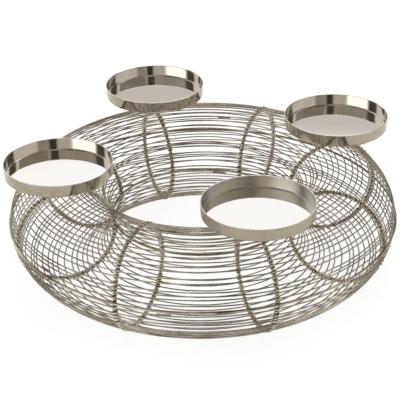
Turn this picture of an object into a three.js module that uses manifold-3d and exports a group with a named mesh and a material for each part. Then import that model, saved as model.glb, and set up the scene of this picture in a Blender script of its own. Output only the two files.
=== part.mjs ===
// Ring candle holder: a ring-shaped cage of thin wires tied over eight hoops, with four candle pans on top.
// Millimetres and degrees, +Z up. The origin is on the floor, on the ring's axis.

import * as THREE from "three";
import { mergeVertices } from "three/addons/utils/BufferGeometryUtils.js";
import Module from "manifold-3d";

// The cage
const overallDiameter = 350; // over the outer rim rod
const sectionDiameter = 91; // of the cage's round section, through the ring wires' centres
const wireDiameter = 1.2; // ring wires
const hoopRodDiameter = 2.4;
const rimRodDiameter = 2.4;
const tieDiameter = 0.8; // binding wire
const ringsPerQuarter = 13; // rings from the rim to the crown
const ringWander = 1.1; // the rings are tied by hand, so each strays from an even pitch by up to this angle
const wanderWaves = 10; // round the section
const hoopCount = 8;
const tieSlant = 45; // of a turn of binding wire, to the hoop
const tieBite = 0.15; // how far a turn is pulled into the hoop and the ring wire

// The candle pans
const panCount = 4;
const panDiameter = 94; // over the rim
const panTaper = 0.5; // how much further in the wall's foot stands than its rim
const panHeight = 11.5;
const panSheet = 0.8;
const panCornerRadius = 1.8; // outside, between the floor and the wall
const panLift = 15.3; // from the top of the crown wire to the underside of a pan

// The posts under the pans
const plateDiameter = 16; // round weld plate at a post's top
const plateThickness = 1;
const copeDepth = 0.6; // a post's coped foot reaches this far down over its hoop

const clearance = 0.3; // between a piece and what it is tied, welded or seated to

// Facets
const outerRingSteps = 32; // on rings wider than the section's centre circle
const innerRingSteps = 24;
const wireSides = 3;
const rimSides = 6;
const hoopSteps = 24;
const rodSides = 4;
const copeSides = 8;
const copeSteps = 48;
const panSteps = 32;
const cornerSteps = 3;
const postSteps = 16;
const tieSteps = 10;

const fullTurn = 2 * Math.PI;
const sectionRadius = sectionDiameter / 2;
const wireRadius = wireDiameter / 2;
const hoopRodRadius = hoopRodDiameter / 2;
const rimRodRadius = rimRodDiameter / 2;
const tieRadius = tieDiameter / 2;
const hoopRadius = sectionRadius - wireRadius - clearance - hoopRodRadius;
const rimReach = hoopRadius + hoopRodRadius + clearance + rimRodRadius;
const ringRadius = overallDiameter / 2 - rimReach - rimRodRadius; // from the axis to the section's centre
const centreHeight = sectionRadius + wireRadius;
const ringCount = 4 * ringsPerQuarter;
const crownIndex = ringsPerQuarter;
const innerRimIndex = 2 * ringsPerQuarter;
const baseIndex = 3 * ringsPerQuarter;

const wasm = await Module();
wasm.setup();

function toSolid(geometry) {
  const bare = geometry.clone();
  bare.deleteAttribute("normal");
  bare.deleteAttribute("uv");
  const merged = mergeVertices(bare, 1e-4);
  return new wasm.Manifold(
    new wasm.Mesh({
      numProp: 3,
      vertProperties: merged.attributes.position.array,
      triVerts: new Uint32Array(merged.index.array),
    }),
  );
}

function toGeometry(solid) {
  const mesh = solid.getMesh();
  const geometry = new THREE.BufferGeometry();
  geometry.setAttribute("position", new THREE.BufferAttribute(mesh.vertProperties, 3));
  geometry.setIndex(new THREE.BufferAttribute(mesh.triVerts, 1));
  geometry.computeVertexNormals();
  return geometry;
}

function metal(color, roughness) {
  return new THREE.MeshStandardMaterial({ color, roughness, metalness: 1 });
}

const wireMetal = () => metal(0x968c76, 0.34);
const panMetal = () => metal(0xc0b6a4, 0.2);

// A ring of round rod about Z. A corner of the rod's section points down, so it rests at its full radius.
function rodRing(radius, rodRadius, sides, steps) {
  const section = [];
  for (let side = 0; side <= sides; side++) {
    const turn = (side / sides) * fullTurn;
    section.push(new THREE.Vector2(radius + rodRadius * Math.sin(turn), -rodRadius * Math.cos(turn)));
  }
  return new THREE.LatheGeometry(section, steps).rotateX(Math.PI / 2);
}

// Ring wires are numbered round the cage's section, from the outer rim over the crown.
function sectionAngle(index) {
  const even = (index / ringCount) * fullTurn;
  return even - THREE.MathUtils.degToRad(ringWander) * Math.sin(wanderWaves * even);
}

function ringWire(index) {
  const angle = sectionAngle(index);
  const radius = ringRadius + sectionRadius * Math.cos(angle);
  const height = centreHeight + sectionRadius * Math.sin(angle);
  const steps = radius < ringRadius ? innerRingSteps : outerRingSteps;
  return rodRing(radius, wireRadius, wireSides, steps).translate(0, 0, height);
}

// A hoop lies in the XZ plane, round the section's centre.
function hoopRod(rodRadius, sides, steps) {
  return rodRing(hoopRadius, rodRadius, sides, steps)
    .rotateX(Math.PI / 2)
    .translate(ringRadius, 0, centreHeight);
}

// One turn of binding wire, laid aslant round the hoop and the ring wire where they cross.
function tie(index) {
  const angle = sectionAngle(index);
  const stackHeight = 2 * hoopRodRadius + clearance + wireDiameter;
  const reach = hoopRadius - hoopRodRadius + stackHeight / 2;
  const turnRadius = stackHeight / 2 + tieRadius - tieBite;
  return new THREE.TorusGeometry(turnRadius, tieRadius, rodSides, tieSteps)
    .rotateX(THREE.MathUtils.degToRad(tieSlant))
    .rotateY(-angle)
    .translate(ringRadius + reach * Math.cos(angle), 0, centreHeight + reach * Math.sin(angle));
}

// Each hoop is one piece with a ring wire, which lies near the base on hoops under a pan, or near the crown.
const carriedSteps = [-4, -3, 3, 4]; // from the base or the crown, for one pan after another

function carriedRing(hoop) {
  const isUnderPan = hoop % (hoopCount / panCount) === 0;
  const station = Math.floor((hoop * panCount) / hoopCount);
  return (isUnderPan ? baseIndex : crownIndex) + carriedSteps[station % carriedSteps.length];
}

function hoopWithRing(hoop) {
  const azimuth = (hoop / hoopCount) * fullTurn;
  const index = carriedRing(hoop);
  return toGeometry(
    toSolid(hoopRod(hoopRodRadius, rodSides, hoopSteps).rotateZ(azimuth))
      .add(toSolid(tie(index).rotateZ(azimuth)))
      .add(toSolid(ringWire(index))),
  );
}

// A shallow pan pressed from sheet: flat floor, tight corner, and a wall that flares a little towards its rim.
// Its underside is at height zero.
function pan() {
  const rimRadius = panDiameter / 2;
  const footRadius = rimRadius - panTaper;
  const innerCorner = panCornerRadius - panSheet;
  const cornerCentre = new THREE.Vector2(footRadius - panCornerRadius, panCornerRadius);
  const profile = [new THREE.Vector2(0, 0)];
  for (let step = 0; step <= cornerSteps; step++) {
    const turn = (step / cornerSteps) * (Math.PI / 2);
    profile.push(
      new THREE.Vector2(Math.sin(turn), -Math.cos(turn)).multiplyScalar(panCornerRadius).add(cornerCentre),
    );
  }
  profile.push(new THREE.Vector2(rimRadius, panHeight));
  profile.push(new THREE.Vector2(rimRadius - panSheet, panHeight));
  for (let step = cornerSteps; step >= 0; step--) {
    const turn = (step / cornerSteps) * (Math.PI / 2);
    profile.push(
      new THREE.Vector2(Math.sin(turn), -Math.cos(turn)).multiplyScalar(innerCorner).add(cornerCentre),
    );
  }
  profile.push(new THREE.Vector2(0, panSheet));
  return new THREE.LatheGeometry(profile, panSteps).rotateX(Math.PI / 2);
}

// A post comes up between the crown wire and the next wire outside it, and stands on the hoop.
const crownAngle = sectionAngle(crownIndex);
const nextAngle = sectionAngle(crownIndex - 1);
const crownPitch = sectionRadius * (Math.cos(nextAngle) - Math.cos(crownAngle));
const postDiameter = crownPitch - wireDiameter - 2 * clearance;
const postCircleRadius = ringRadius + crownPitch / 2;
const postOffset = postCircleRadius - ringRadius;
const crownTop = centreHeight + sectionRadius + wireRadius;
const panBase = crownTop + panLift;

function post() {
  const hoopTop = centreHeight + Math.sqrt((hoopRadius + hoopRodRadius) ** 2 - postOffset ** 2);
  const foot = hoopTop - copeDepth;
  const top = panBase - clearance;
  const radius = postDiameter / 2;
  const profile = [
    new THREE.Vector2(0, foot),
    new THREE.Vector2(radius, foot),
    new THREE.Vector2(radius, top - plateThickness),
    new THREE.Vector2(plateDiameter / 2, top - plateThickness),
    new THREE.Vector2(plateDiameter / 2, top),
    new THREE.Vector2(0, top),
  ];
  const turned = new THREE.LatheGeometry(profile, postSteps).rotateX(Math.PI / 2);
  const cope = hoopRod(hoopRodRadius + clearance, copeSides, copeSteps).translate(-postCircleRadius, 0, 0);
  return toGeometry(toSolid(turned).subtract(toSolid(cope)));
}

const holder = new THREE.Group();
holder.name = "ring_candle_holder";

function addPiece(name, geometry, material, parent = holder) {
  const mesh = new THREE.Mesh(geometry, material);
  mesh.name = name;
  parent.add(mesh);
  return mesh;
}

const twoDigits = (number) => String(number).padStart(2, "0");

// Rim rods: the cage's widest ring, outside, and its narrowest, round the hole.
const outerRim = rodRing(ringRadius + rimReach, rimRodRadius, rimSides, outerRingSteps);
const innerRim = rodRing(ringRadius - rimReach, rimRodRadius, rimSides, innerRingSteps);
addPiece("outer_rim_rod", outerRim.translate(0, 0, centreHeight), wireMetal());
addPiece("inner_rim_rod", innerRim.translate(0, 0, centreHeight), wireMetal());

const carried = new Set();
for (let hoop = 0; hoop < hoopCount; hoop++) {
  carried.add(carriedRing(hoop));
  addPiece("hoop_" + (hoop + 1), hoopWithRing(hoop), wireMetal());
}

for (let index = 1; index < ringCount; index++) {
  if (index === innerRimIndex || carried.has(index)) continue;
  addPiece("ring_wire_" + twoDigits(index), ringWire(index), wireMetal());
}

for (let number = 0; number < panCount; number++) {
  const station = new THREE.Group();
  station.rotation.z = (number / panCount) * fullTurn;
  holder.add(station);
  const postPiece = addPiece("pan_post_" + (number + 1), post(), wireMetal(), station);
  const panPiece = addPiece("candle_pan_" + (number + 1), pan(), panMetal(), station);
  postPiece.position.x = postCircleRadius;
  panPiece.position.set(postCircleRadius, 0, panBase);
}

export default holder;
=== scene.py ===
import math
import random
import bmesh
import bpy
from mathutils import Matrix, Vector


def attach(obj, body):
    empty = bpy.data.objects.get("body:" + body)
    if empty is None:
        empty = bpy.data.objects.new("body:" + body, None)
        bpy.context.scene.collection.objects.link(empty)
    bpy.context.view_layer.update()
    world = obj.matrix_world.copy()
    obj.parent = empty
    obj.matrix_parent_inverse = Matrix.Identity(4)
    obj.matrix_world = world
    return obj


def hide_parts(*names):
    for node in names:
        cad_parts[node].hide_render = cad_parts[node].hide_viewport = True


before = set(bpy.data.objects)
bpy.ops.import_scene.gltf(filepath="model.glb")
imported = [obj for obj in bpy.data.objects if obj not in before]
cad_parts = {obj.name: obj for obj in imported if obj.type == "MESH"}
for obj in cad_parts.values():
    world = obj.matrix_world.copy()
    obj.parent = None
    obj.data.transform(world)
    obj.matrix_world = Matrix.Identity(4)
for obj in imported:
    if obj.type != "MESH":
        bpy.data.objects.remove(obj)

mm = 0.001
fullTurn = 2 * math.pi
mergeWithin = 0.001 * mm  # vertices closer than this become one
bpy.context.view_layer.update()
print("frame loaded:", len(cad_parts), "nodes")

# The cage as the frame has it: ring wires round a section circle, tied outside eight hoops
cage = {
    "ringRadius": 127.7 * mm,  # from the axis to the middle of the section
    "sectionRadius": 45.5 * mm,  # through the ring wires
    "hoopRadius": 43.4 * mm,
    "rimReach": 46.1 * mm,
    "centreHeight": 46.1 * mm,
    "ringCount": 52,
    "hoopCount": 8,
    "ringWander": math.radians(1.1),
    "wanderWaves": 10,
    "crownIndex": 13,
    "innerRimIndex": 26,
    "baseIndex": 39,
}


def sectionAngle(index):
    even = index / cage["ringCount"] * fullTurn
    return even - cage["ringWander"] * math.sin(cage["wanderWaves"] * even)


def addNode(tree, kind, inputs=None, **settings):
    node = tree.nodes.new(kind)
    for name, value in settings.items():
        setattr(node, name, value)
    for name, value in (inputs or {}).items():
        if isinstance(value, bpy.types.NodeSocket):
            tree.links.new(value, node.inputs[name])
        else:
            node.inputs[name].default_value = value
    return node


def calculate(tree, operation, first, second=0.0):
    return addNode(tree, "ShaderNodeMath", {0: first, 1: second}, operation=operation).outputs[0]


def ramp(tree, value, low, high, start=0.0, end=1.0):
    spread = {"Value": value, "From Min": low, "From Max": high, "To Min": start, "To Max": end}
    return addNode(tree, "ShaderNodeMapRange", spread).outputs[0]


def smoothRamp(tree, value, low, high):
    spread = {"Value": value, "From Min": low, "From Max": high}
    return addNode(tree, "ShaderNodeMapRange", spread, interpolation_type="SMOOTHSTEP").outputs[0]


def noise(tree, vector, scale, detail=3.0, roughness=0.5):
    values = {"Vector": vector, "Scale": scale, "Detail": detail, "Roughness": roughness}
    return addNode(tree, "ShaderNodeTexNoise", values).outputs["Fac"]


def blendColour(tree, share, first, second):
    values = {0: share, 6: first, 7: second}
    return addNode(tree, "ShaderNodeMix", values, data_type="RGBA").outputs[2]


def colour(red, green, blue):
    return (red, green, blue, 1.0)


wireFinish = {
    "bright": colour(0.50, 0.455, 0.36),
    "dull": colour(0.175, 0.15, 0.108),
    "tarnish": colour(0.085, 0.062, 0.038),
    "paintedGlint": colour(0.60, 0.555, 0.46),  # painted glints, in patches, on the side of each wire that faces out of the cage
    "mottleScale": 34.0,
    "mottleRange": (0.3, 0.7),  # of the noise, from dull to bright
    "patchRange": (0.35, 0.65),  # of the noise, for the patches of painted glint
    "tarnishScale": 260.0,
    "tarnishRange": (0.5, 0.72),
    "tarnishShare": 0.5,
    "tarnishRoughness": 0.25,
    "roughness": (0.16, 0.34),
    "drawScale": 1900.0,  # marks of the drawing die
    "bumpStrength": 0.5,
    "bumpDepth": 0.02 * mm,
    "glintReach": (45.8 * mm, 46.4 * mm),  # from the section's middle
}


def platedWire(name, look):
    material = bpy.data.materials.new(name)
    material.use_nodes = True
    tree = material.node_tree
    shader = tree.nodes["Principled BSDF"]
    place = addNode(tree, "ShaderNodeTexCoord").outputs["Object"]
    mottle = noise(tree, place, look["mottleScale"], detail=4.0, roughness=0.6)
    spots = noise(tree, place, look["tarnishScale"], detail=5.0, roughness=0.65)
    spotted = smoothRamp(tree, spots, *look["tarnishRange"])
    tarnish = calculate(tree, "MULTIPLY", spotted, look["tarnishShare"])

    # How far a point stands from the middle of the cage's section tells which side of a wire faces
    # out, where the glint is painted
    split = addNode(tree, "ShaderNodeSeparateXYZ", {0: place}).outputs
    flat = addNode(tree, "ShaderNodeCombineXYZ", {0: split[0], 1: split[1]}).outputs[0]
    reach = addNode(tree, "ShaderNodeVectorMath", {0: flat}, operation="LENGTH").outputs["Value"]
    outward = calculate(tree, "SUBTRACT", reach, cage["ringRadius"])
    upward = calculate(tree, "SUBTRACT", split[2], cage["centreHeight"])
    section = addNode(tree, "ShaderNodeCombineXYZ", {0: outward, 1: upward}).outputs[0]
    far = addNode(tree, "ShaderNodeVectorMath", {0: section}, operation="LENGTH").outputs["Value"]
    glintMask = smoothRamp(tree, far, *look["glintReach"])
    paintedGlint = calculate(tree, "MULTIPLY", glintMask, ramp(tree, mottle, *look["patchRange"]))

    shade = ramp(tree, mottle, *look["mottleRange"])
    plain = blendColour(tree, shade, look["dull"], look["bright"])
    darkened = blendColour(tree, tarnish, plain, look["tarnish"])
    # Painted glints, in patches, on the side of each wire facing out of the cage
    final = blendColour(tree, paintedGlint, darkened, look["paintedGlint"])
    tree.links.new(final, shader.inputs["Base Color"])

    smooth, coarse = look["roughness"]
    gloss = ramp(tree, mottle, *look["mottleRange"], coarse, smooth)
    roughened = calculate(tree, "MULTIPLY", tarnish, look["tarnishRoughness"])
    rough = calculate(tree, "ADD", gloss, roughened)
    tree.links.new(rough, shader.inputs["Roughness"])

    marks = noise(tree, place, look["drawScale"], detail=2.0)
    height = calculate(tree, "SUBTRACT", marks, tarnish)
    bump = {"Height": height, "Strength": look["bumpStrength"], "Distance": look["bumpDepth"]}
    tree.links.new(addNode(tree, "ShaderNodeBump", bump).outputs[0], shader.inputs["Normal"])
    shader.inputs["Metallic"].default_value = 1.0
    return material


panFinish = {
    "inside": colour(0.58, 0.545, 0.475),
    "insideDull": colour(0.50, 0.46, 0.385),
    # the outer face is painted darker than the inner one: painted shade
    "outside": colour(0.42, 0.372, 0.285),
    "outsideDull": colour(0.35, 0.305, 0.225),
    # the floor, much lighter than the walls: painted highlight
    "floor": colour(0.95, 0.935, 0.91),
    # painted highlight along the rim's top
    "paintedGlint": colour(0.88, 0.85, 0.78),
    # darker, in patches, in a ring on the floor round the foot of the wall
    "cornerDark": colour(0.17, 0.13, 0.085),
    "cornerDarkShare": 0.4,
    "cornerDarkRange": (0.4, 0.7),  # of the noise
    "cornerDarkRoughness": 0.3,
    "cornerDarkInset": 0.7 * mm,  # from the floor's edge to the middle of the darker ring
    "cornerDarkSpread": (0.1 * mm, 0.9 * mm),  # from there, where it starts to fade and is gone
    "faceBlend": 0.1 * mm,  # at the middle of the sheet, between the inner and the outer look
    "wallInset": (1.1 * mm, 0.1 * mm),  # from the floor's edge, over which floor turns into wall
    "rimInset": (0.5 * mm, 0.1 * mm),  # from the rim's top, over which the painted highlight sets in
    "rimRange": (0.3, 0.5),
    "rimGlint": (0.4, 1.0),
    "wallRoughness": (0.07, 0.15),
    "floorRoughness": (0.02, 0.06),
    "brushScale": 2600.0,  # fine lines that run round the wall
    "brushRun": 26.0,
    "brushStrength": 0.6,
    "brushDepth": 0.004 * mm,
    "dentScale": 22.0,
    "dentStrength": 0.35,
    "dentDepth": 0.12 * mm,
    "mottleScale": 55.0,
    "mottleRange": (0.3, 0.7),
    "patchRange": (0.35, 0.65),
    "fineMottleFactor": 7,  # the fine mottle's scale, as a multiple of the mottle's
}


def platedPan(name, look, centre, size):
    material = bpy.data.materials.new(name)
    material.use_nodes = True
    tree = material.node_tree
    shader = tree.nodes["Principled BSDF"]
    raw = addNode(tree, "ShaderNodeTexCoord").outputs["Object"]
    centred = {"Vector": raw, "Location": (-centre[0], -centre[1], -size["base"])}
    place = addNode(tree, "ShaderNodeMapping", centred).outputs[0]
    split = addNode(tree, "ShaderNodeSeparateXYZ", {0: place}).outputs
    flat = addNode(tree, "ShaderNodeCombineXYZ", {0: split[0], 1: split[1]}).outputs[0]
    reach = addNode(tree, "ShaderNodeVectorMath", {0: flat}, operation="LENGTH").outputs["Value"]

    # The wall's inner and outer faces are told apart by the reach, less what the wall flares
    floorEdge = size["footRadius"] - size["sheet"]
    flare = (size["rimRadius"] - size["footRadius"]) / size["height"]
    straight = calculate(tree, "SUBTRACT", reach, calculate(tree, "MULTIPLY", split[2], flare))
    middle = size["footRadius"] - size["sheet"] / 2
    blend = look["faceBlend"]
    isOutside = smoothRamp(tree, straight, middle - blend, middle + blend)
    isWall = smoothRamp(tree, reach, *(floorEdge - inset for inset in look["wallInset"]))
    isRim = smoothRamp(tree, split[2], *(size["height"] - inset for inset in look["rimInset"]))
    # Darker and rougher, in patches, in a ring on the floor round the foot of the wall
    fromCorner = calculate(tree, "SUBTRACT", reach, floorEdge - look["cornerDarkInset"])
    joint = calculate(tree, "ABSOLUTE", fromCorner)
    inCorner = calculate(tree, "SUBTRACT", 1.0, smoothRamp(tree, joint, *look["cornerDarkSpread"]))

    mottle = noise(tree, place, look["mottleScale"], detail=4.0, roughness=0.6)
    fineMottle = noise(tree, place, look["mottleScale"] * look["fineMottleFactor"], roughness=0.6)
    patchy = ramp(tree, mottle, *look["patchRange"])
    inside = blendColour(tree, patchy, look["insideDull"], look["inside"])
    # Painted shade: the outer face is darker than the inner
    outside = blendColour(tree, patchy, look["outsideDull"], look["outside"])
    wall = blendColour(tree, isOutside, inside, outside)
    # The floor is painted much lighter than the wall, a painted highlight
    body = blendColour(tree, isWall, look["floor"], wall)
    darkPatches = ramp(tree, fineMottle, *look["cornerDarkRange"], 0.0, look["cornerDarkShare"])
    darkCorner = calculate(tree, "MULTIPLY", inCorner, darkPatches)
    darkened = blendColour(tree, darkCorner, body, look["cornerDark"])
    # Painted highlight, in patches, along the rim's top
    glintMask = ramp(tree, fineMottle, *look["rimRange"], *look["rimGlint"])
    paintedGlint = calculate(tree, "MULTIPLY", isRim, glintMask)
    tree.links.new(blendColour(tree, paintedGlint, darkened, look["paintedGlint"]), shader.inputs["Base Color"])

    wallRough = ramp(tree, mottle, *look["mottleRange"], *look["wallRoughness"])
    floorRough = ramp(tree, mottle, *look["mottleRange"], *look["floorRoughness"])
    mixed = {"Factor": isWall, "A": floorRough, "B": wallRough}
    clean = addNode(tree, "ShaderNodeMix", mixed).outputs[0]
    roughened = calculate(tree, "MULTIPLY", darkCorner, look["cornerDarkRoughness"])
    rough = calculate(tree, "ADD", clean, roughened)
    tree.links.new(rough, shader.inputs["Roughness"])

    scale = (look["brushRun"], look["brushRun"], look["brushScale"])
    stretched = {"Vector": place, "Scale": scale}
    brush = noise(tree, addNode(tree, "ShaderNodeMapping", stretched).outputs[0], 1.0)
    lines = calculate(tree, "MULTIPLY", brush, isWall)
    fine = {"Height": lines, "Strength": look["brushStrength"], "Distance": look["brushDepth"]}
    fineBump = addNode(tree, "ShaderNodeBump", fine).outputs[0]
    dents = noise(tree, place, look["dentScale"], detail=1.0)
    broad = {"Height": dents, "Strength": look["dentStrength"], "Distance": look["dentDepth"],
             "Normal": fineBump}
    tree.links.new(addNode(tree, "ShaderNodeBump", broad).outputs[0], shader.inputs["Normal"])
    shader.inputs["Metallic"].default_value = 1.0
    return material


wirePlating = platedWire("warmNickelWire", wireFinish)
# Rods and posts: darker than the ring wires, which is painted shade, and more tarnished
shadedRodPlating = platedWire("warmNickelRod", dict(
    wireFinish, bright=colour(0.30, 0.25, 0.17), dull=colour(0.165, 0.13, 0.08), tarnishShare=0.6))
# The binding is painted much lighter than the ring wires: painted highlight for its bright turns
highlightedBindingPlating = platedWire("warmNickelBinding", dict(
    wireFinish, bright=colour(0.84, 0.785, 0.65), dull=colour(0.54, 0.48, 0.37), tarnishShare=0.3))
print("finishes mixed")


def addObject(name, data):
    added = bpy.data.objects.new(name, data)
    bpy.context.scene.collection.objects.link(added)
    return added


def finishPiece(name, shape, material, node=None):
    # The shape is a mesh or a curve
    piece = addObject(name, shape)
    shape.materials.append(material)
    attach(piece, "root")
    if node:
        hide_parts(node)


def finishMesh(bm, name):
    bmesh.ops.remove_doubles(bm, verts=bm.verts, dist=mergeWithin)
    bmesh.ops.recalc_face_normals(bm, faces=bm.faces)
    for face in bm.faces:
        face.smooth = True
    mesh = bpy.data.meshes.new(name)
    bm.to_mesh(mesh)
    bm.free()
    return mesh


def rodRing(radius, height, rodRadius, sides, steps):
    # A round rod bent into a flat ring about the vertical axis
    bm = bmesh.new()
    seat = Matrix.Translation((radius, 0, height)) @ Matrix.Rotation(math.pi / 2, 4, "X")
    bmesh.ops.create_circle(bm, segments=sides, radius=rodRadius, matrix=seat)
    section = bm.verts[:] + bm.edges[:]
    bmesh.ops.spin(bm, geom=section, cent=(0, 0, 0), axis=(0, 0, 1), angle=fullTurn,
                   steps=steps, use_merge=True)
    return bm


rings = {
    "wireRadius": 0.6 * mm,
    "sides": 8,
    "steps": 120,
    "ringStray": 0.6 * mm,  # how far a whole wire is tied off its even place
    "tieStray": 0.42 * mm,  # and one tie of it more
    "bow": 0.32 * mm,  # how far it bows between two hoops
    "seed": 11,
    "filled": (2, 7, 18, 21, 23, 44, 47, 49),  # pitches with one wire more laid in
    "filledStray": 0.3 * mm,
    "rodRadius": 1.2 * mm,  # of the two rim rods
    "rodSides": 12,
    "rodSteps": 160,
}

chance = random.Random(rings["seed"])
ringCount, hoopCount = cage["ringCount"], cage["hoopCount"]
rimIndexes = (0, cage["innerRimIndex"])
besidePost = (cage["crownIndex"], cage["crownIndex"] - 1)  # a post comes up between these two
tieOffset = {}  # angle that each tie is off its even place, for each ring wire and hoop
bayBow = {}
for index in range(ringCount):
    whole = chance.uniform(-1, 1) * rings["ringStray"]
    for hoop in range(hoopCount):
        shift = whole + chance.uniform(-1, 1) * rings["tieStray"]
        if index in rimIndexes or (index in besidePost and hoop % 2 == 0):
            shift = 0.0
        tieOffset[index, hoop] = shift / cage["sectionRadius"]
        bayBow[index, hoop] = chance.uniform(-1, 1) * rings["bow"] / cage["sectionRadius"]
for index in rings["filled"]:
    for hoop in range(hoopCount):
        between = (tieOffset[index, hoop] + tieOffset[index + 1, hoop]) / 2
        shift = chance.uniform(-1, 1) * rings["filledStray"] / cage["sectionRadius"]
        tieOffset[index + 0.5, hoop] = between + shift
        bayBow[index + 0.5, hoop] = (bayBow[index, hoop] + bayBow[index + 1, hoop]) / 2
places = sorted(list(range(ringCount)) + [index + 0.5 for index in rings["filled"]])


def strayAt(index, azimuth):
    # Smooth run through the ties of one ring wire, with a bow in each bay
    along = (azimuth % fullTurn) / fullTurn * hoopCount
    hoop = int(along) % hoopCount
    share = along - int(along)
    around = [(hoop + step) % hoopCount for step in (-1, 0, 1, 2)]
    before, start, end, after = (tieOffset[index, tie] for tie in around)
    leave, arrive = (end - before) / 2, (after - start) / 2
    square, cube = share ** 2, share ** 3
    run = (2 * cube - 3 * square + 1) * start + (cube - 2 * square + share) * leave
    run += (3 * square - 2 * cube) * end + (cube - square) * arrive
    return run + bayBow[index, hoop] * math.sin(math.pi * share) ** 2


def ringPoint(index, azimuth, reach):
    # A point of a ring wire's run, that far from the section's middle
    angle = sectionAngle(index) + strayAt(index, azimuth)
    outward = cage["ringRadius"] + reach * math.cos(angle)
    return Vector((outward * math.cos(azimuth), outward * math.sin(azimuth),
                   cage["centreHeight"] + reach * math.sin(angle)))


for index in places:
    if index in rimIndexes:
        continue
    angle = sectionAngle(index)
    radius = cage["ringRadius"] + cage["sectionRadius"] * math.cos(angle)
    height = cage["centreHeight"] + cage["sectionRadius"] * math.sin(angle)
    bm = rodRing(radius, height, rings["wireRadius"], rings["sides"], rings["steps"])
    for vert in bm.verts:
        azimuth = math.atan2(vert.co.y, vert.co.x)
        turn = strayAt(index, azimuth)
        outward = math.hypot(vert.co.x, vert.co.y) - cage["ringRadius"]
        upward = vert.co.z - cage["centreHeight"]
        cosine, sine = math.cos(turn), math.sin(turn)
        reach = cage["ringRadius"] + outward * cosine - upward * sine
        vert.co = (reach * math.cos(azimuth), reach * math.sin(azimuth),
                   cage["centreHeight"] + outward * sine + upward * cosine)
    isLaidIn = index != int(index)
    name = "wire_%02d_laid_in" % index if isLaidIn else "wire_%02d" % index
    node = "ring_wire_%02d" % index
    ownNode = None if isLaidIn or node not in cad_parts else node  # eight are in a hoop's node
    finishPiece(name, finishMesh(bm, name), wirePlating, ownNode)

rimRods = (("rim_rod_outer", "outer_rim_rod", 1), ("rim_rod_inner", "inner_rim_rod", -1))
for name, node, side in rimRods:
    radius = cage["ringRadius"] + side * cage["rimReach"]
    bm = rodRing(radius, cage["centreHeight"], rings["rodRadius"], rings["rodSides"],
                 rings["rodSteps"])
    finishPiece(name, finishMesh(bm, name), shadedRodPlating, node)


def roundWireCurve(name, wireRadius):
    curve = bpy.data.curves.new(name, "CURVE")
    curve.dimensions = "3D"
    curve.bevel_depth = wireRadius
    curve.bevel_resolution = 1
    return curve


laps = {
    "length": 12 * mm,
    "beside": (9.0, 24.0),  # degrees round from a hoop
    "gap": 0.02 * mm,
    "points": 7,
    "tilt": 0.8,  # where the lap lies round its wire, from straight inside it, in radians at most
    "seed": 5,
}

# A real ring wire is closed by lapping its ends. Here the ring is whole, and a short length of
# wire laid along it, inside the cage, stands for the lap.
chance = random.Random(laps["seed"])
lapCurve = roundWireCurve("wire_laps", rings["wireRadius"])
lapCurve.use_fill_caps = True
for index in places:
    if index in rimIndexes:
        continue
    hoop = chance.randrange(hoopCount)
    middle = hoop / hoopCount * fullTurn + math.radians(chance.uniform(*laps["beside"]))
    lean = chance.uniform(-1, 1) * laps["tilt"]
    radius = cage["ringRadius"] + cage["sectionRadius"] * math.cos(sectionAngle(index))
    apart = 2 * rings["wireRadius"] + laps["gap"]
    spline = lapCurve.splines.new("POLY")
    spline.points.add(laps["points"] - 1)
    for step, point in enumerate(spline.points):
        azimuth = middle + (step / (laps["points"] - 1) - 0.5) * laps["length"] / radius
        on = ringPoint(index, azimuth, cage["sectionRadius"])
        inward = (ringPoint(index, azimuth, 0) - on).normalized()
        along = Vector((-math.sin(azimuth), math.cos(azimuth), 0))
        inward.rotate(Matrix.Rotation(lean, 3, along))
        point.co = (*(on + inward * apart), 1.0)
# Painted lighter, in the binding wire's colour: in the ring wires' own they look like dark dashes
# of shade
finishPiece("wire_laps", lapCurve, highlightedBindingPlating)
print("ring wires bent")


hoops = {
    "rodRadius": 1.2 * mm,
    "sides": 12,
    "steps": 96,
}

for hoop in range(hoopCount):
    azimuth = hoop / hoopCount * fullTurn
    bm = bmesh.new()
    middle = (cage["ringRadius"], 0, cage["centreHeight"])
    seat = Matrix.Translation((cage["ringRadius"] + cage["hoopRadius"], 0, cage["centreHeight"]))
    bmesh.ops.create_circle(bm, segments=hoops["sides"], radius=hoops["rodRadius"], matrix=seat)
    bmesh.ops.spin(bm, geom=bm.verts[:] + bm.edges[:], cent=middle, axis=(0, 1, 0), angle=fullTurn,
                   steps=hoops["steps"], use_merge=True)
    bmesh.ops.rotate(bm, verts=bm.verts, cent=(0, 0, 0), matrix=Matrix.Rotation(azimuth, 3, "Z"))
    name = "hoop_rod_%d" % (hoop + 1)
    finishPiece(name, finishMesh(bm, name), shadedRodPlating, "hoop_%d" % (hoop + 1))

binding = {
    "wireRadius": 0.55 * mm,
    "pointsPerPitch": 12,
    "tightness": 0.35,  # at 0 a strand turns evenly, with more it turns faster over a ring wire
    "crest": 3.0,  # the higher, the shorter the rise over a ring wire
    "clearance": 0.3 * mm,
    "slack": 0.025 * mm,  # how far a point of a strand usually lies off its run, each way
    "floorGap": 0.02 * mm,
    "baseFlat": (1.15, 1.9),  # ties from the base wire, see strandTurn
    "seed": 23,
}

chance = random.Random(binding["seed"])


def strandTurn(along):
    # A strand turns fast where it crosses a ring wire and slowly between two. Near the base wire
    # it is a quarter turn on and runs beside the hoop, to stay off the floor, so the three lowest
    # crossings aren't bound over. This fades out between the two limits.
    whole = math.floor(along)
    share = along - whole
    eased = share + binding["tightness"] * math.sin(fullTurn * share) / fullTurn
    turn = fullTurn * (whole + eased)
    low, high = binding["baseFlat"]
    away = abs(along - places.index(cage["baseIndex"]))
    if away < high:
        ease = min(1.0, (high - away) / (high - low))
        turn += math.pi / 2 * ease * ease * (3 - 2 * ease)
    return turn


def crossingAngle(hoop, number):
    rounds, spot = divmod(number, len(places))
    place = places[spot]
    return sectionAngle(place) + tieOffset[place, hoop] + rounds * fullTurn


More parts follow.
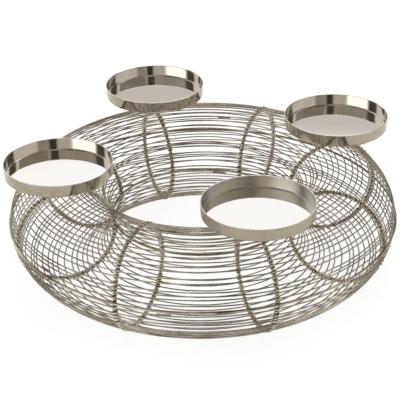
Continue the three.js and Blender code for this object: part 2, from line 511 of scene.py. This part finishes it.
def strandPoint(hoop, along, strand):
    nearest = places[int(round(along)) % len(places)]
    below = math.floor(along)
    share = along - below
    angle = crossingAngle(hoop, below) * (1 - share) + crossingAngle(hoop, below + 1) * share
    turn = strandTurn(along) + math.pi * strand
    close = hoops["rodRadius"] + binding["wireRadius"]
    wireThickness = 2 * (rings["rodRadius"] if nearest in rimIndexes else rings["wireRadius"])
    over = close + binding["clearance"] + wireThickness
    lift = ((1 + math.cos(turn)) / 2) ** binding["crest"] * math.cos(math.pi * share) ** 2
    reach = close + (over - close) * lift
    outward = cage["hoopRadius"] + reach * math.cos(turn)
    return Vector((cage["ringRadius"] + outward * math.cos(angle), reach * math.sin(turn),
                   cage["centreHeight"] + outward * math.sin(angle)))


for hoop in range(hoopCount):
    name = "binding_%d" % (hoop + 1)
    curve = roundWireCurve(name, binding["wireRadius"])
    turned = Matrix.Rotation(hoop / hoopCount * fullTurn, 3, "Z")
    pointCount = len(places) * binding["pointsPerPitch"]
    for strand in (0, 1):
        spline = curve.splines.new("POLY")
        spline.points.add(pointCount - 1)
        spline.use_cyclic_u = True
        for step, point in enumerate(spline.points):
            place = turned @ strandPoint(hoop, step / binding["pointsPerPitch"], strand)
            place += Vector([chance.gauss(0, binding["slack"]) for axis in range(3)])
            place.z = max(place.z, binding["wireRadius"] + binding["floorGap"])
            point.co = (*place, 1.0)
    finishPiece(name, curve, highlightedBindingPlating)
print("hoops bent and bound")


pans = {
    "count": 4,
    "circleRadius": 130.847 * mm,
    "rimRadius": 47 * mm,
    "footRadius": 46.5 * mm,
    "height": 11.5 * mm,
    "sheet": 0.8 * mm,
    "corner": 1.8 * mm,
    "base": 107.5 * mm,
    "edge": 0.36 * mm,
    "steps": 144,
    "cornerSteps": 6,
    "edgeSteps": 3,
    "support": 0.3 * mm,  # a loop this far off each bevel keeps the walls and the floor straight
    "satin": 4,  # this one is less polished than the others
    "satinRoughness": (0.34, 0.42),
}
posts = {
    "radius": 2.247 * mm,
    "plateRadius": 8 * mm,
    "plateThickness": 1 * mm,
    "cope": 0.6 * mm,
    "clearance": 0.3 * mm,
    "steps": 32,
    "plateEdge": 0.25 * mm,
    "plateEdgeSteps": 2,
    "weld": 1.1 * mm,
    "weldSteps": 4,
}


def circlesAt(bm, radius, height, within=0.05 * mm):
    # The edges of one circle of a spun shape
    def onCircle(vert):
        offRadius = abs(math.hypot(vert.co.x, vert.co.y) - radius)
        return max(offRadius, abs(vert.co.z - height)) < within
    return [edge for edge in bm.edges if all(onCircle(vert) for vert in edge.verts)]


def spinProfile(bm, profile, steps):
    verts = [bm.verts.new((radius, 0, height)) for radius, height in profile]
    edges = [bm.edges.new(pair) for pair in zip(verts, verts[1:])]
    bmesh.ops.spin(bm, geom=verts + edges, cent=(0, 0, 0), axis=(0, 0, 1), angle=fullTurn,
                   steps=steps, use_merge=True)
    bmesh.ops.remove_doubles(bm, verts=bm.verts, dist=mergeWithin)
    bmesh.ops.recalc_face_normals(bm, faces=bm.faces)


def bevelCircle(bm, radius, height, width, segments):
    bmesh.ops.bevel(bm, geom=circlesAt(bm, radius, height), offset=width, affect="EDGES",
                    segments=segments, profile=0.5, material=-1)


def panMesh(name, centre):
    rim, foot, sheet, support = (
        pans[value] for value in ("rimRadius", "footRadius", "sheet", "support"))
    inner = pans["corner"] - sheet
    slope = (rim - foot) / pans["height"]
    low = pans["corner"] + support
    high = pans["height"] - pans["edge"] - support
    profile = [
        (0, 0), (foot - pans["corner"] - support, 0), (foot, 0), (foot + slope * low, low),
        (foot + slope * high, high), (rim, pans["height"]), (rim - sheet, pans["height"]),
        (foot - sheet + slope * high, high), (foot - sheet + slope * low, low),
        (foot - sheet, sheet), (foot - sheet - inner - support, sheet), (0, sheet),
    ]
    bm = bmesh.new()
    spinProfile(bm, profile, pans["steps"])
    bevelCircle(bm, foot, 0, pans["corner"], pans["cornerSteps"])
    bevelCircle(bm, foot - sheet, sheet, inner, pans["cornerSteps"])
    for radius in (rim, rim - sheet):
        bevelCircle(bm, radius, pans["height"], pans["edge"], pans["edgeSteps"])
    bmesh.ops.translate(bm, verts=bm.verts, vec=(centre[0], centre[1], pans["base"]))
    return finishMesh(bm, name)


def postMesh(name, azimuth):
    across = pans["circleRadius"] - cage["ringRadius"]
    clear = hoops["rodRadius"] + posts["clearance"]
    hoopReach = cage["hoopRadius"] + hoops["rodRadius"]
    hoopTop = cage["centreHeight"] + math.sqrt(hoopReach ** 2 - across ** 2)
    foot = hoopTop - posts["cope"]
    top = pans["base"] - posts["clearance"]
    plateFoot = top - posts["plateThickness"]
    profile = [
        (0, foot), (posts["radius"], foot), (posts["radius"], plateFoot),
        (posts["plateRadius"], plateFoot), (posts["plateRadius"], top), (0, top),
    ]
    bm = bmesh.new()
    spinProfile(bm, profile, posts["steps"])
    # The foot is coped over the hoop, so its edge rises where the rod runs under it
    sameLevel = 0.01 * mm
    for vert in bm.verts:
        if abs(vert.co.z - foot) < sameLevel:
            rise = math.sqrt(max(0.0, clear ** 2 - vert.co.y ** 2))
            away = math.hypot(across + vert.co.x, cage["hoopRadius"])
            rodLine = cage["centreHeight"] + cage["hoopRadius"] * cage["hoopRadius"] / away
            vert.co.z = max(foot, rodLine + rise)
    for level in (top, plateFoot):
        bevelCircle(bm, posts["plateRadius"], level, posts["plateEdge"], posts["plateEdgeSteps"])
    bevelCircle(bm, posts["radius"], plateFoot, posts["weld"], posts["weldSteps"])
    bmesh.ops.translate(bm, verts=bm.verts, vec=(pans["circleRadius"], 0, 0))
    bmesh.ops.rotate(bm, verts=bm.verts, cent=(0, 0, 0), matrix=Matrix.Rotation(azimuth, 3, "Z"))
    return finishMesh(bm, name)


for station in range(pans["count"]):
    azimuth = station / pans["count"] * fullTurn
    centre = (pans["circleRadius"] * math.cos(azimuth), pans["circleRadius"] * math.sin(azimuth))
    number = station + 1
    look = panFinish
    if number == pans["satin"]:
        look = dict(panFinish, wallRoughness=pans["satinRoughness"])
    finish = platedPan("nickelPan%d" % number, look, centre, pans)
    finishPiece("pan_%d" % number, panMesh("pan_%d" % number, centre), finish,
                "candle_pan_%d" % number)
    finishPiece("post_%d" % number, postMesh("post_%d" % number, azimuth), shadedRodPlating,
                "pan_post_%d" % number)
print("pans and posts set")


camera = {
    "azimuth": math.radians(-20.0),
    "elevation": math.radians(28.24),
    "roll": math.radians(0.785),
    "distance": 1.2007,
    "aim": (0.0, 0.0, 0.046),
    "lens": 118.77,
    "sensor": 36.0,
    "shift": (-0.00685, 0.02412),
}


def directionFrom(azimuth, elevation):
    # From the holder outwards, at an azimuth counted from -Y towards +X
    level = math.cos(elevation)
    return Vector((math.sin(azimuth) * level, -math.cos(azimuth) * level, math.sin(elevation)))


back = directionFrom(camera["azimuth"], camera["elevation"])
cameraData = bpy.data.cameras.new("camera")
cameraData.lens = camera["lens"]
cameraData.sensor_width = camera["sensor"]
cameraData.shift_x, cameraData.shift_y = camera["shift"]
cameraObject = addObject("camera", cameraData)
turn = Matrix.Rotation(camera["azimuth"], 4, "Z")
tip = Matrix.Rotation(math.pi / 2 - camera["elevation"], 4, "X")
lean = Matrix.Rotation(-camera["roll"], 4, "Z")
standing = Matrix.Translation(Vector(camera["aim"]) + back * camera["distance"])
cameraObject.matrix_world = standing @ turn @ tip @ lean
bpy.context.scene.camera = cameraObject

studio = {
    "worldLight": 0.8,  # on what isn't shiny
    "backdrop": 1.0,
    "floorSize": 14.0,
    "floorSteps": 8,
    "floorColour": colour(0.19, 0.188, 0.184),
    "floorGlow": 0.86,
    "lampDistance": 2.2,
    # azimuth and elevation in degrees from the camera, width and height in metres, watts
    "lamps": {"key": (-56, 24, 1.3, 0.7, 6.5), "top": (165, 62, 1.8, 1.2, 14.0)},
    "cardDistance": 2.6,
    "cardApart": 0.06,  # each hangs this much farther out than the last, so that none cuts another
    "cardFade": (8.0, 2.5),  # degrees over which a card's sides, and its top and foot, fade
    "cardSteps": 12,
    "cardWarmth": 1.1,  # a card is tinted by how far its tone lies below this
    "cardTint": (0.13, 0.28),  # green and blue that the warmest card lacks
    # azimuth, elevation, width and height in degrees, and the tone that the metal sees
    "cards": {
        "softbox": (-56, 16.5, 62, 21, 2.3),
        "topBox": (165, 62, 84, 34, 3.0),
        "gapLeft": (-12, 16.5, 36, 21, 0.70),
        "front": (12, 16.5, 26, 21, 0.05),
        "rightNear": (34, 16.5, 32, 21, 0.42),
        "rightLow": (78, 16, 78, 22, 0.85),
        "backRight": (131, 26, 42, 52, 0.10),
        "behind": (180, 12.4, 60, 30, 0.55),
        "backLeft": (-100, 24, 36, 44, 0.10),
        "highLeft": (-50, 33, 106, 27, 0.42),
        "highFront": (10, 33, 30, 27, 0.08),
        "highRight": (64, 33, 90, 27, 0.32),
        "ceiling": (0, 60, 226, 36, 0.10),
    },
}


def seenByEye(tree):
    paths = addNode(tree, "ShaderNodeLightPath").outputs
    direct = calculate(tree, "MAXIMUM", paths["Is Camera Ray"], paths["Is Glossy Ray"])
    return calculate(tree, "MAXIMUM", direct, paths["Is Transmission Ray"])


world = bpy.data.worlds.new("studio")
world.use_nodes = True
bpy.context.scene.world = world
tree = world.node_tree
tree.nodes.clear()
white = colour(1, 1, 1)
level = addNode(tree, "ShaderNodeBackground", {"Color": white, "Strength": studio["worldLight"]})
backdrop = addNode(tree, "ShaderNodeBackground", {"Color": white, "Strength": studio["backdrop"]})
chosen = addNode(tree, "ShaderNodeMixShader",
                 {0: seenByEye(tree), 1: level.outputs[0], 2: backdrop.outputs[0]})
addNode(tree, "ShaderNodeOutputWorld", {"Surface": chosen.outputs[0]})

# Floor: keeps the shadow, shows white, and lets a camera below it see through
floorPaint = bpy.data.materials.new("paleFloor")
floorPaint.use_nodes = True
tree = floorPaint.node_tree
tree.nodes.clear()
matt = addNode(tree, "ShaderNodeBsdfDiffuse", {"Color": studio["floorColour"]})
glowLevel = calculate(tree, "MULTIPLY", seenByEye(tree), studio["floorGlow"])
glow = addNode(tree, "ShaderNodeEmission", {"Color": white, "Strength": glowLevel})
top = addNode(tree, "ShaderNodeAddShader", {0: matt.outputs[0], 1: glow.outputs[0]})
under = addNode(tree, "ShaderNodeBsdfTransparent")
facing = addNode(tree, "ShaderNodeNewGeometry").outputs["Backfacing"]
chosen = addNode(tree, "ShaderNodeMixShader", {0: facing, 1: top.outputs[0], 2: under.outputs[0]})
addNode(tree, "ShaderNodeOutputMaterial", {"Surface": chosen.outputs[0]})
bm = bmesh.new()
steps = studio["floorSteps"]
bmesh.ops.create_grid(bm, x_segments=steps, y_segments=steps, size=studio["floorSize"] / 2)
floor = addObject("floor", finishMesh(bm, "floor"))
floor.data.materials.append(floorPaint)

for name, (azimuth, elevation, width, height, watts) in studio["lamps"].items():
    lampData = bpy.data.lights.new(name, "AREA")
    lampData.shape = "RECTANGLE"
    lampData.size, lampData.size_y = width, height
    lampData.energy = watts
    lamp = addObject(name, lampData)
    towards = directionFrom(math.radians(azimuth) + camera["azimuth"], math.radians(elevation))
    lamp.location = Vector(camera["aim"]) + towards * studio["lampDistance"]
    lamp.rotation_euler = towards.to_track_quat("Z", "Y").to_euler()
    lamp.visible_glossy = False  # the cards stand for the lamps on the shiny metal

# Curved cards that only the shiny metal sees, as a photographer sets round polished ware
for number, (name, values) in enumerate(studio["cards"].items()):
    azimuth, elevation, width, height, tone = values
    paint = bpy.data.materials.new("card" + name)
    paint.use_nodes = True
    tree = paint.node_tree
    tree.nodes.clear()
    warmth = min(1.0, max(0.0, studio["cardWarmth"] - tone))  # the darker a card, the warmer
    lessGreen, lessBlue = studio["cardTint"]
    tint = colour(1.0, 1.0 - lessGreen * warmth, 1.0 - lessBlue * warmth)
    even = addNode(tree, "ShaderNodeEmission", {"Color": tint, "Strength": tone})
    clear = addNode(tree, "ShaderNodeBsdfTransparent")
    uv = addNode(tree, "ShaderNodeUVMap").outputs[0]
    across = addNode(tree, "ShaderNodeSeparateXYZ", {0: uv}).outputs
    cover = 1.0
    for run, size, fade in zip(across, (width, height), studio["cardFade"]):
        fromMiddle = calculate(tree, "ABSOLUTE", calculate(tree, "SUBTRACT", run, 0.5))
        inset = calculate(tree, "SUBTRACT", 0.5, fromMiddle)
        cover = calculate(tree, "MULTIPLY", cover, smoothRamp(tree, inset, 0.0, fade / size))
    soft = addNode(tree, "ShaderNodeMixShader",
                   {0: cover, 1: clear.outputs[0], 2: even.outputs[0]})
    addNode(tree, "ShaderNodeOutputMaterial", {"Surface": soft.outputs[0]})
    bm = bmesh.new()
    steps = studio["cardSteps"]
    distance = studio["cardDistance"] + number * studio["cardApart"]
    bm.loops.layers.uv.new("cardRun")
    bmesh.ops.create_grid(bm, x_segments=steps, y_segments=steps, size=0.5, calc_uvs=True)
    for vert in bm.verts:
        turn = math.radians(azimuth + vert.co.x * width) + camera["azimuth"]
        rise = math.radians(elevation + vert.co.y * height)
        vert.co = Vector(camera["aim"]) + directionFrom(turn, rise) * distance
    card = addObject("card_" + name, finishMesh(bm, "card_" + name))
    card.data.materials.append(paint)
    card.visible_camera = card.visible_diffuse = card.visible_shadow = False

bpy.context.scene.view_settings.view_transform = "Standard"
print("studio lit")
